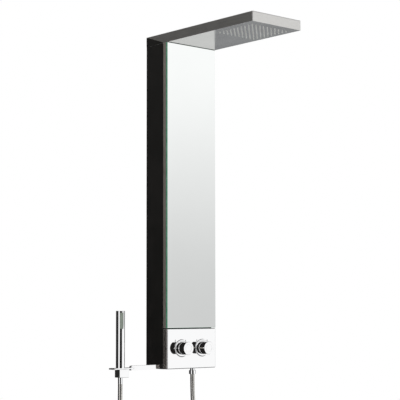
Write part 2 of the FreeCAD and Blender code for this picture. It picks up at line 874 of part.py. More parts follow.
def valve_body():
    """The mixing valve: a barrel with two front sockets, two rear inlets, a riser boss and an outlet boss."""
    made = body("valve_body", depth=PIPE_DEPTH, height="valve_height")
    half = "valve_length / 2"
    pad(made, circle(sketch(made, "YZ", f"-{half}"), "0", "0", "barrel_radius"), "valve_length")
    sockets = sketch(made, "XZ")
    shoulder_end = f"({WEB_REAR} - valve_bracket_sheet - {PIPE_DEPTH})"
    shoulders = sketch(made, "XZ", f"{shoulder_end} - shoulder_length")
    inlets = sketch(made, "XZ", "-inlet_length")
    bores = sketch(made, "XZ", f"{CARTRIDGE_FOOT} - fit - {PIPE_DEPTH}")
    inlet_bores = sketch(made, "XZ", "-inlet_length")
    for side in ("-", ""):
        circle(sockets, f"{side}knob_spacing / 2", "0", "socket_radius")
        circle(shoulders, f"{side}knob_spacing / 2", "0", "shoulder_radius")
        circle(inlets, f"{side}inlet_spacing / 2", "0", "boss_radius")
        circle(bores, f"{side}knob_spacing / 2", "0", "socket_bore")
        circle(inlet_bores, f"{side}inlet_spacing / 2", "0", "tail_bore")
    pad(made, sockets, f"{SOCKET_FACE} - {PIPE_DEPTH}")
    pad(made, shoulders, "shoulder_length")
    pad(made, inlets, "inlet_length")
    pad(made, circle(sketch(made, "XY"), "0", "0", "boss_radius"), "riser_boss")
    pad(made, circle(sketch(made, "XY", "-outlet_boss"), "outlet_across", "0", "boss_radius"), "outlet_boss")
    cut(made, bores, "cartridge_length + fit")
    cut(made, inlet_bores, "inlet_length")
    riser = circle(sketch(made, "XY", "riser_boss - socket_length"), "0", "0", "pipe_radius + running")
    cut(made, riser, "socket_length")
    outlet = circle(sketch(made, "XY", "-outlet_boss"), "outlet_across", "0", "pipe_radius + running")
    cut(made, outlet, "outlet_socket")
    return made


def valve_bracket():
    """The plate behind the web that the valve's shoulders bear on."""
    made = body("valve_bracket", depth=f"{WEB_REAR} - valve_bracket_sheet", height="valve_bracket_foot")
    half = f"({INNER} - running)"
    pad(made, box(sketch(made, "XZ"), f"-{half}", "0", half, "valve_bracket_height"), "valve_bracket_sheet")
    holes = sketch(made, "XZ")
    for side in ("-", ""):
        circle(holes, f"{side}knob_spacing / 2", "valve_height - valve_bracket_foot", "socket_radius + fit")
    cut(made, holes, "valve_bracket_sheet")
    return made


def socket_rings():
    """Two eight-sided lock rings that clamp the valve's sockets to the web."""
    made = body("socket_rings", depth="casing_depth", height="valve_height")
    rings = sketch(made, "XZ")
    for side in ("-", ""):
        polygon(rings, f"{side}knob_spacing / 2", "0", "ring_radius", RING_SIDES)
        circle(rings, f"{side}knob_spacing / 2", "0", "socket_radius + running")
    pad(made, rings, "ring_thickness")
    return made


def inlet_tail(label, side):
    """A threaded tail at the back of the valve for a supply hose, with a hexagon against the boss."""
    made = body(label, across=f"{side}inlet_spacing / 2", depth=INLET_FACE, height="valve_height")
    drawn = sketch(made, "XZ", "-tail_hexagon")
    polygon(drawn, "0", "0", "tail_hexagon_radius", HEXAGON)
    circle(drawn, "0", "0", "tail_bore")
    pad(made, drawn, "tail_hexagon")
    ring(made, "XZ", "-(tail_hexagon + tail_length)", "0", "0", "tail_radius", "tail_bore", "tail_length")
    return made


def cartridge(label, side):
    """A turned cartridge in its socket, with a neck through the valve plate and a bore for its spindle."""
    made = body(label, across=f"{side}knob_spacing / 2", height="valve_height")
    bore = "(spindle_radius + running)"
    neck_face = f"({FRONT} + flange_thickness)"
    corners = [
        ("0", CARTRIDGE_FOOT),
        ("(socket_bore - running)", CARTRIDGE_FOOT),
        ("(socket_bore - running)", SOCKET_FACE),
        ("cartridge_neck", SOCKET_FACE),
        ("cartridge_neck", neck_face),
        (bore, neck_face),
        (bore, f"({SPINDLE_FOOT} - fit)"),
        ("0", f"({SPINDLE_FOOT} - fit)"),
    ]
    turned_forward(made, corners)
    return made


# Knobs


def knob_flange(label, side):
    """The thin disc between a knob and the valve plate."""
    made = body(label, across=f"{side}knob_spacing / 2", depth=FRONT, height="valve_height")
    ring(made, "XZ", "0", "0", "0", "flange_radius", "cartridge_neck + fit", "flange_thickness")
    face = -size("flange_thickness")
    outer = size("flange_radius")
    bevel_edges(made, "flange_bevel",
                lambda edge: abs(edge.CenterOfMass.y - face) < 0.01 and edge.Curve.Radius > outer - 0.01)
    return made


def knob(label, side, lean):
    """A hollow turned knob: a wall, a seat for the cap, a hub for the spindle, and a grip pin on top."""
    made = body(label, across=f"{side}knob_spacing / 2", depth=KNOB_REAR, height="valve_height")
    bore = "(spindle_radius + running)"
    inner = "(knob_radius - knob_wall)"
    seat = "(cap_radius + running)"
    seat_depth = "(knob_length - cap_thickness)"
    corners = [
        (inner, "0"),
        ("knob_radius", "0"),
        ("knob_radius", "knob_length - knob_edge"),
        ("knob_radius - knob_edge", "knob_length"),
        (seat, "knob_length"),
        (seat, seat_depth),
        ("0", seat_depth),
        ("0", "(knob_length - knob_front_wall)"),
        (bore, "(knob_length - knob_front_wall)"),
        (bore, "hub_setback"),
        ("hub_radius", "hub_setback"),
        ("hub_radius", "(knob_length - knob_front_wall)"),
        (inner, "(knob_length - knob_front_wall)"),
    ]
    turned_forward(made, corners)
    pin = circle(sketch(made, "XY", "knob_radius - knob_wall"), lean, "-pin_setback", "pin_radius")
    pad(made, pin, "knob_wall + pin_stand")
    cut(made, circle(sketch(made, "XY", "-knob_radius"), "0", "-button_setback", "grub_radius + fit"),
        "knob_radius - spindle_radius")
    return made


def temperature_knob():
    """The left knob, with a hole in its left side for the safety button."""
    made = knob("temperature_knob", "-", "-pin_lean")
    hole = circle(sketch(made, "YZ", "-knob_radius"), "-button_setback", "0", "button_radius + running")
    cut(made, hole, "2 * knob_wall")
    return made


def flow_knob():
    """The right knob, with a raised pointer along its left side."""
    made = knob("flow_knob", "", "0")
    pointer = box(sketch(made, "XZ", "pointer_setback"), "-(knob_radius + pointer_stand)",
                  "-pointer_width / 2", "-(knob_radius - knob_wall / 2)", "pointer_width / 2")
    pad(made, pointer, "pointer_length")
    return made


def spindle(label, side):
    """The shaft from a cartridge into its knob's hub."""
    made = body(label, across=f"{side}knob_spacing / 2", depth=SPINDLE_FOOT, height="valve_height")
    length = f"{KNOB_REAR} + knob_length - knob_front_wall - {SPINDLE_FOOT} - fit"
    pad(made, circle(sketch(made, "XZ"), "0", "0", "spindle_radius"), length)
    return made


def knob_cap(label, side):
    """The flush disc that covers a knob's middle."""
    made = body(label, across=f"{side}knob_spacing / 2", depth=f"{KNOB_REAR} + knob_length - cap_thickness",
                height="valve_height")
    pad(made, circle(sketch(made, "XZ"), "0", "0", "cap_radius"), "cap_thickness")
    face = -size("cap_thickness")
    bevel_edges(made, "fit", lambda edge: abs(edge.CenterOfMass.y - face) < 0.01)
    return made


def grub_screw(label, side):
    """The screw through the underside of a knob's hub onto its spindle."""
    made = body(label, across=f"{side}knob_spacing / 2", depth=f"{KNOB_REAR} + button_setback",
                height="valve_height - spindle_radius - grub_length")
    pad(made, circle(sketch(made, "XY"), "0", "0", "grub_radius"), "grub_length")
    return made


def safety_button():
    """The button in the temperature knob's wall: a stem, and a collar that keeps it in."""
    made = body("safety_button", across="-knob_spacing / 2", depth=f"{KNOB_REAR} + button_setback",
                height="valve_height")
    stop = "-(knob_radius - knob_wall - 2 * fit)"
    tip = "-(knob_radius + button_stand)"
    inner = f"({stop} + button_collar_thickness)"
    turned(made, "XZ", "H_Axis", [
        (inner, "0"),
        (inner, "button_collar"),
        (stop, "button_collar"),
        (stop, "button_radius"),
        (f"({tip} + fit)", "button_radius"),
        (tip, "button_radius - fit"),
        (tip, "0"),
    ])
    return made


def button_spring():
    """The coil spring between the hub and the safety button's collar."""
    made = body("button_spring", across="-knob_spacing / 2 - hub_radius",
                depth=f"{KNOB_REAR} + button_setback", height="valve_height")
    wire = box(sketch(made, "XZ"), "-spring_wire", "spring_radius - spring_wire", "0", "spring_radius")
    length = "(knob_radius - knob_wall - 2 * fit - button_collar_thickness - hub_radius - spring_wire)"
    coil = made.newObject("PartDesign::AdditiveHelix", "button_spring_coil")
    coil.Profile = wire
    coil.ReferenceAxis = (wire, ["H_Axis"])
    coil.Mode = 2
    coil.Reversed = True
    coil.setExpression("Height", formula(length))
    coil.setExpression("Turns", formula("spring_turns"))
    doc.recompute()
    return made


# Outlet and hose


def outlet_tail():
    """The outlet tube from the valve through the base plate, with a collar under the plate."""
    made = body("outlet_tail", across="outlet_across", depth=PIPE_DEPTH)
    foot = f"({NUT_FOOT} + outlet_collar_thickness / 2)"
    top = f"{OUTLET_BOSS_FOOT} + outlet_socket"
    turned_up(made, [
        ("outlet_bore", foot),
        ("pipe_radius", foot),
        ("pipe_radius", "-outlet_collar_thickness"),
        ("outlet_collar", "-outlet_collar_thickness"),
        ("outlet_collar", "0"),
        ("pipe_radius", "0"),
        ("pipe_radius", top),
        ("outlet_bore", top),
    ])
    return made


def outlet_locknut():
    """The hexagon nut that clamps the outlet tube on the base plate."""
    made = body("outlet_locknut", across="outlet_across", depth=PIPE_DEPTH, height="casing_sheet")
    drawn = sketch(made, "XY")
    polygon(drawn, "0", "0", "(locknut_width / 2)", HEXAGON)
    circle(drawn, "0", "0", "pipe_radius + running")
    pad(made, drawn, "locknut_thickness")
    return made


def hose_lower_nut():
    """The hose's nut on the outlet tube."""
    made = body("hose_lower_nut", across="outlet_across", depth=PIPE_DEPTH)
    bore = "(pipe_radius + running)"
    floor = f"({NUT_FOOT} + outlet_collar_thickness / 2 - running)"
    turned_up(made, [
        (bore, "-neck_length"),
        ("nut_radius - fit", "-neck_length"),
        ("nut_radius", "-neck_length - fit"),
        ("nut_radius", f"{NUT_FOOT} + fit"),
        ("nut_radius - fit", NUT_FOOT),
        ("outlet_bore", NUT_FOOT),
        ("outlet_bore", floor),
        (bore, floor),
    ])
    return made


HOSE_ROUTE = [
    (40, -60, -20),
    (40, -60, -74),
    (44, -61, -140),
    (63, -62, -214),
    (81, -62, -292),
    (66, -63, -372),
    (8, -65, -424),
    (-70, -67, -443),
    (-150, -69, -443),
    (-228, -71, -424),
    (-286, -72, -372),
    (-301, -73, -292),
    (-283, -74, -214),
    (-264, -75, -142),
    (-260, -75, -86),
    (-260, -75, -39),
]


def smooth_path(points):
    """Straight runs joined by arcs as large as the shorter run at each point allows, with radii printed."""
    runs = [after - before for before, after in zip(points, points[1:])]
    edges = []
    start = points[0]
    radii = []
    for before, corner, after in zip(runs, points[1:], runs[1:]):
        turn = before.getAngle(after)
        tangent = 0.45 * min(before.Length, after.Length)
        radii.append(tangent / math.tan(turn / 2))
        enter = corner - before.normalize() * tangent
        leave = corner + FreeCAD.Vector(after).normalize() * tangent
        middle = FreeCAD.Vector(after).normalize() - before
        middle = corner + middle.normalize() * radii[-1] * (1 / math.cos(turn / 2) - 1)
        edges.append(Part.LineSegment(start, enter).toShape())
        edges.append(Part.Arc(enter, middle, leave).toShape())
        start = leave
    edges.append(Part.LineSegment(start, points[-1]).toShape())
    print("hose radii:", " ".join(f"{radius:.0f}" for radius in radii))
    return Part.Wire(edges)


def shower_hose():
    """The hose that hangs in a loop from the outlet to the handset's ferrule."""
    path = smooth_path([FreeCAD.Vector(*point) for point in HOSE_ROUTE])
    radius = size("hose_radius")
    section = Part.Wire(Part.makeCircle(radius, FreeCAD.Vector(*HOSE_ROUTE[0]), FreeCAD.Vector(0, 0, -1)))
    tube = path.makePipeShell([section], True, False)
    expected = math.pi * radius ** 2 * path.Length
    print(f"hose length {path.Length:.1f} mm, volume ratio {tube.Volume / expected:.4f}")
    if abs(tube.Volume / expected - 1) > 0.01:
        raise RuntimeError("the hose's volume is not its section times its length")
    made = doc.addObject("Part::Feature", "shower_hose")
    made.Label = "shower_hose"
    made.Shape = tube
    place(made)
    return made


# Handset holder


def holder_bar():
    """The bar from the column's left side, with rounded ends and a slot for the shelf."""
    made = body("holder_bar", across=f"-{HALF}", depth=f"{HOLDER_DEPTH} - bar_thickness")
    pad(made, box(sketch(made, "XZ"), "-bar_length", "0", "0", "bar_height"), "bar_thickness")
    length = size("bar_length")
    high = size("bar_height")
    round_edges(made, "bar_radius",
                lambda edge: runs_along(edge, FORWARD) and edge.CenterOfMass.z > high - 0.01)
    slot = box(sketch(made, "XZ"), "-bar_length", "shelf_underside", "-bar_length + bar_slot", SHELF_TOP)
    cut(made, slot, "bar_thickness")
    hole = circle(sketch(made, "YZ", "-bar_screw_length"), "-bar_thickness / 2", "bar_height / 2",
                  "bar_screw_radius")
    cut(made, hole, "bar_screw_length")
    return made


def holder_bar_screw():
    """The screw from inside the casing into the end of the bar."""
    made = body("holder_bar_screw", across=f"-{INNER}", depth=f"{HOLDER_DEPTH} - bar_thickness / 2",
                height="bar_height / 2")
    tip = "-(casing_sheet + bar_screw_length - fit)"
    turned(made, "XZ", "H_Axis", [
        (tip, "0"),
        (tip, "bar_screw_radius"),
        ("0", "bar_screw_radius"),
        ("0", "bar_screw_head"),
        ("bar_screw_radius", "bar_screw_head"),
        ("bar_screw_radius", "0"),
    ])
    return made


def holder_shelf():
    """The thin shelf under the handset, with a tongue in the bar's slot and a guide hole for the hose."""
    made = body("holder_shelf", depth=HOLDER_DEPTH, height="shelf_underside")
    left = f"{HANDSET_ACROSS} - shelf_overhang"
    neck = f"-{HALF} - bar_length - fit"
    right = f"-{HALF} - bar_length + bar_slot"
    half = "shelf_width / 2"
    corners = [
        (left, f"-{half}"),
        (neck, f"-{half}"),
        (neck, "0"),
        (right, "0"),
        (right, "bar_thickness"),
        (neck, "bar_thickness"),
        (neck, half),
        (left, half),
    ]
    pad(made, outline(sketch(made, "XY"), corners), "shelf_thickness")
    reach = size("shelf_width") / 2
    round_edges(made, "shelf_radius",
                lambda edge: runs_along(edge, UP) and abs(abs(edge.CenterOfMass.y) - reach) < 0.01)
    cut(made, circle(sketch(made, "XY"), HANDSET_ACROSS, "0", "guide_radius"), "shelf_thickness")
    return made


def holder_block():
    """The block under the shelf that guides the hose."""
    made = body("holder_block", across=f"{HANDSET_ACROSS} + block_offset", depth=HOLDER_DEPTH,
                height="shelf_underside - block_height")
    long = "block_length / 2"
    wide = "block_width / 2"
    pad(made, box(sketch(made, "XY"), f"-{long}", f"-{wide}", long, wide), "block_height")
    bevel_edges(made, "block_edge", lambda edge: edge.CenterOfMass.z < 0.01 or runs_along(edge, UP))
    cut(made, circle(sketch(made, "XY"), "-block_offset", "0", "guide_radius"), "block_height")
    return made


# Handset


def hose_ferrule():
    """The hose's swivel end: a long ferrule through the holder, with a head inside the handset's nut."""
    made = body("hose_ferrule", across=HANDSET_ACROSS, depth=HOLDER_DEPTH)
    head_top = "(ferrule_head_foot + ferrule_head_thickness)"
    turned_up(made, [
        ("ferrule_bore", "ferrule_foot"),
        ("hose_radius", "ferrule_foot"),
        ("hose_radius", "ferrule_head_foot"),
        ("ferrule_head", "ferrule_head_foot"),
        ("ferrule_head", head_top),
        ("ferrule_bore", head_top),
    ])
    return made


def hose_upper_nut():
    """The nut inside the handset's foot, which holds the ferrule's head and screws on the nipple."""
    made = body("hose_upper_nut", across=HANDSET_ACROSS, depth=HOLDER_DEPTH)
    bore = "(nipple_neck + running)"
    neck = "(hose_radius + fit)"
    floor = "(ferrule_head_foot - fit)"
    top = "upper_nut_foot + upper_nut_length"
    turned_up(made, [
        (neck, "upper_nut_foot"),
        ("upper_nut_radius", "upper_nut_foot"),
        ("upper_nut_radius", top),
        (bore, top),
        (bore, floor),
        (neck, floor),
    ])
    return made


def handset_nipple():
    """The nipple pressed into the handset's tube, with the neck that the nut screws on."""
    made = body("handset_nipple", across=HANDSET_ACROSS, depth=HOLDER_DEPTH)
    foot = "(ferrule_head_foot + ferrule_head_thickness + fit)"
    step = "(upper_nut_foot + upper_nut_length)"
    plug = "(handset_radius - handset_wall)"
    turned_up(made, [
        ("ferrule_bore", foot),
        ("nipple_neck", foot),
        ("nipple_neck", step),
        (plug, step),
        (plug, f"{step} + nipple_length"),
        ("ferrule_bore", f"{step} + nipple_length"),
    ])
    return made


def turn_on_swivel(made):
    """Turns a piece of the handset about its upright axis, so that the spray face looks left of the front."""
    made.Placement.Rotation = FreeCAD.Rotation(-UP, 1)
    made.setExpression("Placement.Rotation.Angle", formula("handset_turn * 1 deg"))


def handset_tube():
    """The handset's slim tube, open at the foot, with a slot in its front for the spray face."""
    made = body("handset_tube", across=HANDSET_ACROSS, depth=HOLDER_DEPTH, height=SHELF_TOP)
    turn_on_swivel(made)
    tall = f"(handset_top - cap_disc - {SHELF_TOP})"
    ring(made, "XY", "0", "0", "0", "handset_radius", "handset_radius - handset_wall", tall)
    slot = "(face_width / 2 + fit / 2)"
    foot = f"(face_foot - {SHELF_TOP})"
    cut(made, box(sketch(made, "XZ"), f"-{slot}", foot, slot, f"{foot} + face_length"), "handset_radius")
    return made


def handset_end_cap():
    """The flat cap on top of the handset, with a spigot in the tube."""
    made = body("handset_end_cap", across=HANDSET_ACROSS, depth=HOLDER_DEPTH, height="handset_top - cap_disc")
    turned_up(made, [
        ("0", "-cap_spigot"),
        ("handset_radius - handset_wall", "-cap_spigot"),
        ("handset_radius - handset_wall", "0"),
        ("handset_radius", "0"),
        ("handset_radius", "cap_disc - fit"),
        ("handset_radius - fit", "cap_disc"),
        ("0", "cap_disc"),
    ])
    return made


def handset_spray_face():
    """The silicone strip in the handset's slot, with a flange behind the wall and two columns of jets."""
    made = body("handset_spray_face", across=HANDSET_ACROSS, depth=HOLDER_DEPTH, height="face_foot")
    turn_on_swivel(made)
    face = "(handset_radius - face_setback)"
    flange = "(face_width / 2 + face_flange)"
    behind = f"(sqrt((handset_radius - handset_wall)^2 - {flange}^2) - running)"
    strip = box(sketch(made, "XZ", behind), "-face_width / 2", "fit", "face_width / 2", "face_length - fit")
    pad(made, strip, f"{face} - {behind}")
    back = box(sketch(made, "XZ", f"{behind} - face_flange_thickness"), f"-{flange}", "-face_lap", flange,
               "face_length + face_lap")
    pad(made, back, "face_flange_thickness")
    jets = sketch(made, "XZ", face)
    for side in ("-", ""):
        polygon(jets, f"{side}jet_spacing / 2", "jet_margin", "jet_radius", HEXAGON)
    repeat(made, [pad(made, jets, "jet_stand")], "Z", "face_length - 2 * jet_margin", "jet_rows")
    return made


def main():
    """Builds every piece, checks it and writes it."""
    pieces = [
        wall_bracket(),
        hanger_rail(),
        lower_bracket(),
        lower_bracket_screw(),
        rear_casing(),
        base_plate(),
        front_frame(),
        frame_spacers(),
        glass_tape(),
        mirror_glass(),
        valve_plate(),
        plate_spacers(),
        arm_shell(),
        arm_underside(),
        nozzle_mat(),
        spray_chamber(),
        chamber_studs(),
        arm_brackets(),
        arm_screws(),
        riser_pipe(),
        riser_elbow(),
        arm_feed_pipe(),
        riser_clips(),
        valve_body(),
        valve_bracket(),
        socket_rings(),
        inlet_tail("hot_inlet_tail", "-"),
        inlet_tail("cold_inlet_tail", ""),
        cartridge("thermostatic_cartridge", "-"),
        cartridge("diverter_cartridge", ""),
        knob_flange("temperature_flange", "-"),
        knob_flange("flow_flange", ""),
        temperature_knob(),
        flow_knob(),
        spindle("temperature_spindle", "-"),
        spindle("flow_spindle", ""),
        knob_cap("temperature_cap", "-"),
        knob_cap("flow_cap", ""),
        grub_screw("temperature_grub_screw", "-"),
        grub_screw("flow_grub_screw", ""),
        safety_button(),
        button_spring(),
        outlet_tail(),
        outlet_locknut(),
        hose_lower_nut(),
        shower_hose(),
        holder_bar(),
        holder_bar_screw(),
        holder_shelf(),
        holder_block(),
        hose_ferrule(),
        hose_upper_nut(),
        handset_nipple(),
        handset_tube(),
        handset_end_cap(),
        handset_spray_face(),
    ]
    doc.recompute()
    failed = [item.Label for item in doc.Objects if {"Invalid", "Error"} & set(item.State)]
    if failed:
        raise RuntimeError(f"failed objects: {failed}")
    for piece in pieces:
        if piece.Shape.isNull() or not piece.Shape.isValid() or not piece.Shape.Solids:
            raise RuntimeError(f"{piece.Label} has no valid shape")
    for piece in pieces:
        piece.Shape.exportStep(f"parts/{piece.Label}.step")
    print(f"{len(pieces)} pieces written")


main()
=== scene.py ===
"""The shower panel column, dressed and lit in a plain white studio.

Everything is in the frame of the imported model, in metres where no comment says millimetres: the wall is the
plane y = 0, the front looks along -Y, and FOOT is the height of the column's foot.
"""

import math

import bmesh
import bpy
from mathutils import Matrix, Vector


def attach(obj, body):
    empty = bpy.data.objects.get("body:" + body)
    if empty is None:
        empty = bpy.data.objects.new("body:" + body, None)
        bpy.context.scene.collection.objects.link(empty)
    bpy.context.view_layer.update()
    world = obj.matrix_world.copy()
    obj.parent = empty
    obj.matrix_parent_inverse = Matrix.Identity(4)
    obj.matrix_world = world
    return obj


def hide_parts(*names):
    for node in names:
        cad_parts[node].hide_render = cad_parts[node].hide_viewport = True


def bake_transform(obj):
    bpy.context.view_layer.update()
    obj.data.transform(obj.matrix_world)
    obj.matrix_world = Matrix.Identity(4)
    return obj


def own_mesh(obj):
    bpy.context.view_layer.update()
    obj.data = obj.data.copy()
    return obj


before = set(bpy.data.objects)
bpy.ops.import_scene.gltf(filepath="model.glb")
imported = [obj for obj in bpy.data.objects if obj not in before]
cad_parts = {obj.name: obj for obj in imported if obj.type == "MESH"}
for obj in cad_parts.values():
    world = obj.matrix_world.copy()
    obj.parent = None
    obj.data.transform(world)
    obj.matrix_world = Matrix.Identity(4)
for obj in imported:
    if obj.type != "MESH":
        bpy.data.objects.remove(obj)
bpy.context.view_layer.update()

FOOT = -0.850
FRONT_DEPTH = 0.104
COLUMN_HEIGHT = 1.020
KNOB_ACROSS = 0.042
KNOB_HEIGHT = FOOT + 0.064
ARM_THICKNESS = 0.030
MITRE_DEPTH = 0.088
POINTER_HALF = 0.0018
POINTER_DEPTH = 0.122
POINTER_REACH = 0.0105


# The camera


VIEW_TURN = 41.2906
VIEW_TILT = 4.0629
VIEW_ROLL = -0.093
VIEW_PLACE = (-2.62109, -3.12788, -0.66904)
LENS_LENGTH = 114.58
LENS_SHIFT = 0.05


def add_camera():
    """The photograph's view: from the left and a little below the middle, with a slight upward tilt."""
    turn, tilt, roll = math.radians(VIEW_TURN), math.radians(VIEW_TILT), math.radians(VIEW_ROLL)
    level_right = Vector((math.cos(turn), -math.sin(turn), 0))
    level_ahead = Vector((math.sin(turn), math.cos(turn), 0))
    ahead = level_ahead * math.cos(tilt) + Vector((0, 0, math.sin(tilt)))
    level_up = Vector((0, 0, math.cos(tilt))) - level_ahead * math.sin(tilt)
    right = level_right * math.cos(roll) + level_up * math.sin(roll)
    up = level_up * math.cos(roll) - level_right * math.sin(roll)
    lens = bpy.data.cameras.new("studio_camera")
    lens.sensor_fit = "HORIZONTAL"
    lens.sensor_width = 36
    lens.lens = LENS_LENGTH
    lens.shift_y = LENS_SHIFT
    lens.clip_end = 100
    camera = bpy.data.objects.new("studio_camera", lens)
    bpy.context.collection.objects.link(camera)
    aim = Matrix((right, up, -ahead)).transposed().to_4x4()
    camera.matrix_world = Matrix.Translation(VIEW_PLACE) @ aim
    bpy.context.scene.camera = camera


add_camera()


# Finishes


class Wire:
    """A value in a finish, on which sums can be written."""

    def __init__(self, finish, socket):
        self.finish = finish
        self.socket = socket

    def sum(self, operation, *values):
        return self.finish.node("ShaderNodeMath", {"operation": operation}, dict(enumerate(values)))

    def __add__(self, other):
        return self.sum("ADD", self, other)

    __radd__ = __add__

    def __sub__(self, other):
        return self.sum("SUBTRACT", self, other)

    def __rsub__(self, other):
        return self.sum("SUBTRACT", other, self)

    def __mul__(self, other):
        return self.sum("MULTIPLY", self, other)

    __rmul__ = __mul__

    def __truediv__(self, other):
        return self.sum("DIVIDE", self, other)

    def __abs__(self):
        return self.sum("ABSOLUTE", self)

    def __gt__(self, limit):
        return self.sum("GREATER_THAN", self, limit)

    def __lt__(self, limit):
        return self.sum("LESS_THAN", self, limit)

    def ramp(self, low, high, start=0.0, end=1.0):
        """start at low and under, end at high and over, and smooth between them."""
        settings = {"interpolation_type": "SMOOTHSTEP", "clamp": True}
        values = {"Value": self, "From Min": low, "From Max": high, "To Min": start, "To Max": end}
        return self.finish.node("ShaderNodeMapRange", settings, values)


class Finish:
    """A material, or a world, and the nodes that draw it."""

    def __init__(self, name, kept_in=bpy.data.materials):
        self.made = kept_in.new(name)
        self.made.use_nodes = True
        self.tree = self.made.node_tree
        self.tree.nodes.clear()

    def node(self, kind, settings=None, values=None, out=0):
        """One node: its settings first, then the values or links of its sockets."""
        made = self.tree.nodes.new(kind)
        for name, value in (settings or {}).items():
            setattr(made, name, value)
        for name, value in (values or {}).items():
            if isinstance(value, Wire):
                self.tree.links.new(value.socket, made.inputs[name])
            else:
                made.inputs[name].default_value = value
        return Wire(self, made.outputs[out])

    def place(self):
        """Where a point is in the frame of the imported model."""
        return self.node("ShaderNodeTexCoord", out="Object")

    def facing(self):
        """The direction that the surface faces at rest, with x, y and z apart."""
        split = self.node("ShaderNodeTexCoord", out="Normal")
        return [self.node("ShaderNodeSeparateXYZ", values={0: split}, out=axis) for axis in range(3)]

    def axes(self):
        """The place with x, y and z apart."""
        place = self.place()
        return [self.node("ShaderNodeSeparateXYZ", values={0: place}, out=axis) for axis in range(3)]

    def stretched(self, across, deep, high):
        """The place with each axis multiplied, for a grain that is finer one way than another."""
        values = {0: self.place(), 1: (across, deep, high)}
        return self.node("ShaderNodeVectorMath", {"operation": "MULTIPLY"}, values)

    def noise(self, scale, detail=3.0, place=None, rough=0.55):
        """Soft cloudy values from 0 to 1; the place is this finish's own unless another is given."""
        values = {"Vector": place or self.place(), "Scale": scale, "Detail": detail, "Roughness": rough}
        return self.node("ShaderNodeTexNoise", {"noise_dimensions": "3D"}, values)

    def brush_marks(self, grain):
        """Scratches that run one way, the broad clouds under them, and the tone that the two give."""
        scratches = self.noise(1.0, 4.0, self.stretched(*grain), 0.7)
        broad = self.noise(9.0, 2.0)
        return scratches, broad, scratches * 0.7 + broad * 0.3

    def cells(self, scale):
        """A random value for each cell, as in the spangle of a zinc coat."""
        return self.node("ShaderNodeTexVoronoi", values={"Vector": self.place(), "Scale": scale}, out="Color")

    def blend(self, mask, first, second):
        """A colour between two colours."""
        return self.node("ShaderNodeMix", {"data_type": "RGBA"}, {0: mask, 6: first, 7: second}, out=2)

    def bump(self, height, distance, strength):
        """Fine relief that the shader sees and the mesh doesn't have."""
        values = {"Height": height, "Distance": distance, "Strength": strength}
        return self.node("ShaderNodeBump", values=values)

    def surface(self, **sockets):
        """The shader, with each socket named as one word: Base_Color, Roughness and so on."""
        named = {name.replace("_", " "): value for name, value in sockets.items()}
        return self.shown(self.node("ShaderNodeBsdfPrincipled", values=named))

    def shown(self, shader, kind="ShaderNodeOutputMaterial"):
        """Ends the nodes with their output, and gives back the material or world."""
        output = self.tree.nodes.new(kind)
        self.tree.links.new(shader.socket, output.inputs["Surface"])
        return self.made


def rgb(red, green, blue):
    """A colour written as it looks on a screen, from 0 to 255, as linear light."""
    def linear(value):
        part = value / 255
        return part / 12.92 if part <= 0.04045 else ((part + 0.055) / 1.055) ** 2.4
    return (linear(red), linear(green), linear(blue), 1.0)


ALONG_ARM = (700.0, 9.0, 700.0)
ALONG_COLUMN = (700.0, 700.0, 9.0)
SCRATCH_DEPTH = 0.00003
COAT_BLACK = rgb(17, 16, 14)
COAT_WORN = rgb(23, 21, 19)
PLATING = (0.95, 0.952, 0.955, 1.0)
# How nearly a surface looks along an axis to count as facing that way, and as square to it
FACING = 0.9
SQUARE_ON = 0.97


def brushed(name, grain, light, dark, rough):
    """Sheet brushed one way: grain is how fine the scratches are along x, y and z."""
    f = Finish(name)
    scratches, broad, tone = f.brush_marks(grain)
    colour = f.blend(tone.ramp(0.32, 0.68), dark, light)
    roughness = scratches * 0.16 + broad * 0.06 + (rough - 0.11)
    return f.surface(Base_Color=colour, Metallic=1.0, Roughness=roughness,
                     Normal=f.bump(scratches, SCRATCH_DEPTH, 0.6))


def arm_steel(name):
    """Brushed steel, with the black coat of the column on the triangle behind the mitred corner."""
    f = Finish(name)
    scratches, broad, tone = f.brush_marks(ALONG_ARM)
    steel = f.blend(tone.ramp(0.32, 0.68), rgb(200, 199, 196), rgb(221, 220, 218))
    side, _, _ = f.facing()
    _, depth, height = f.axes()
    rise = (height - (FOOT + COLUMN_HEIGHT)) / ARM_THICKNESS
    black = (abs(side) > FACING) * ((1 + depth / MITRE_DEPTH - rise) > 0.0)
    roughness = scratches * 0.16 + broad * 0.06 + 0.19
    coat = f.blend(broad, COAT_BLACK, COAT_WORN)
    return f.surface(Base_Color=f.blend(black, steel, coat), Metallic=1 - black,
                     Roughness=roughness * (1 - black) + black * 0.42,
                     Normal=f.bump(scratches, SCRATCH_DEPTH, 0.6))


def powder_coat(name):
    """Satin black powder coat with a faint orange peel, a little paler where handling has polished it."""
    f = Finish(name)
    peel = f.noise(900.0, 2.0)
    cloud = f.noise(14.0, 4.0)
    colour = f.blend(cloud.ramp(0.35, 0.7), COAT_BLACK, COAT_WORN)
    return f.surface(Base_Color=colour, Roughness=cloud * 0.12 + 0.36, Specular_IOR_Level=0.5,
                     Normal=f.bump(peel, 0.00004, 0.5))


def silvered_glass(name):
    """A mirror seen from the front, with green sides and grey ground edges at its top and foot."""
    f = Finish(name)
    _, front, up = f.facing()
    mirror = abs(front) > FACING
    haze = f.noise(5.0, 3.0)
    green = f.blend(f.noise(40.0, 2.0).ramp(0.3, 0.7), rgb(66, 132, 100), rgb(92, 152, 122))
    ground = abs(up) > FACING
    edge = f.blend(ground, green, rgb(150, 153, 162))
    face = f.blend(haze, rgb(241, 243, 242), rgb(246, 248, 247))
    return f.surface(Base_Color=f.blend(mirror, edge, face), Metallic=mirror,
                     Roughness=haze * 0.008 + (1 - mirror) * 0.16)


